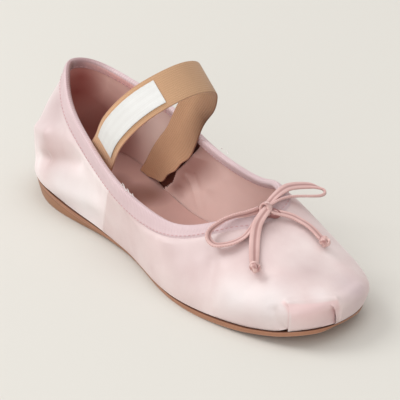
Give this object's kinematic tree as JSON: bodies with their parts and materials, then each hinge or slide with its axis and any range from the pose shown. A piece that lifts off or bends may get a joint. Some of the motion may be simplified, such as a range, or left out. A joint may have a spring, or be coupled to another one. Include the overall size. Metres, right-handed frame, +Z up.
{
  "type": "ballet flat",
  "caption": "Right ballet flat: thin leather sole with a low heel, satin upper with a bound drawstring collar and bow, and a slack elastic strap over the instep.",
  "frame": {"origin": "on the floor under the middle of the shoe's length and width", "axes": "+X from heel to toe, +Y to the inner (medial) side of the right foot, +Z up from the floor"},
  "size_m": [0.2405, 0.0807, 0.0943],
  "materials": {
    "sole": "smooth tan leather, dark edge line",
    "heel": "stacked tan leather, lightly polished edge",
    "sock": "soft matt dusty rose lining leather",
    "satin": "pale pink satin with a soft sheen, dusty rose lining inside",
    "binding": "matt ribbed grosgrain ribbon",
    "elastic": "matt tan woven elastic",
    "label": "blank off-white woven tape",
    "drawstring": "dusty pink satin cord"
  },
  "bodies": {
    "root": {"outsole": "sole", "heel_lift": "heel", "insole": "sock", "upper": "satin", "collar_binding": "binding", "elastic_strap": "elastic", "strap_label": "label", "bow_knot": "drawstring", "bow_loop_lateral": "drawstring", "bow_loop_medial": "drawstring", "bow_tail_lateral": "drawstring", "bow_tail_medial": "drawstring", "bow_end_lateral": "drawstring", "bow_end_medial": "drawstring"}
  },
  "joints": []
}
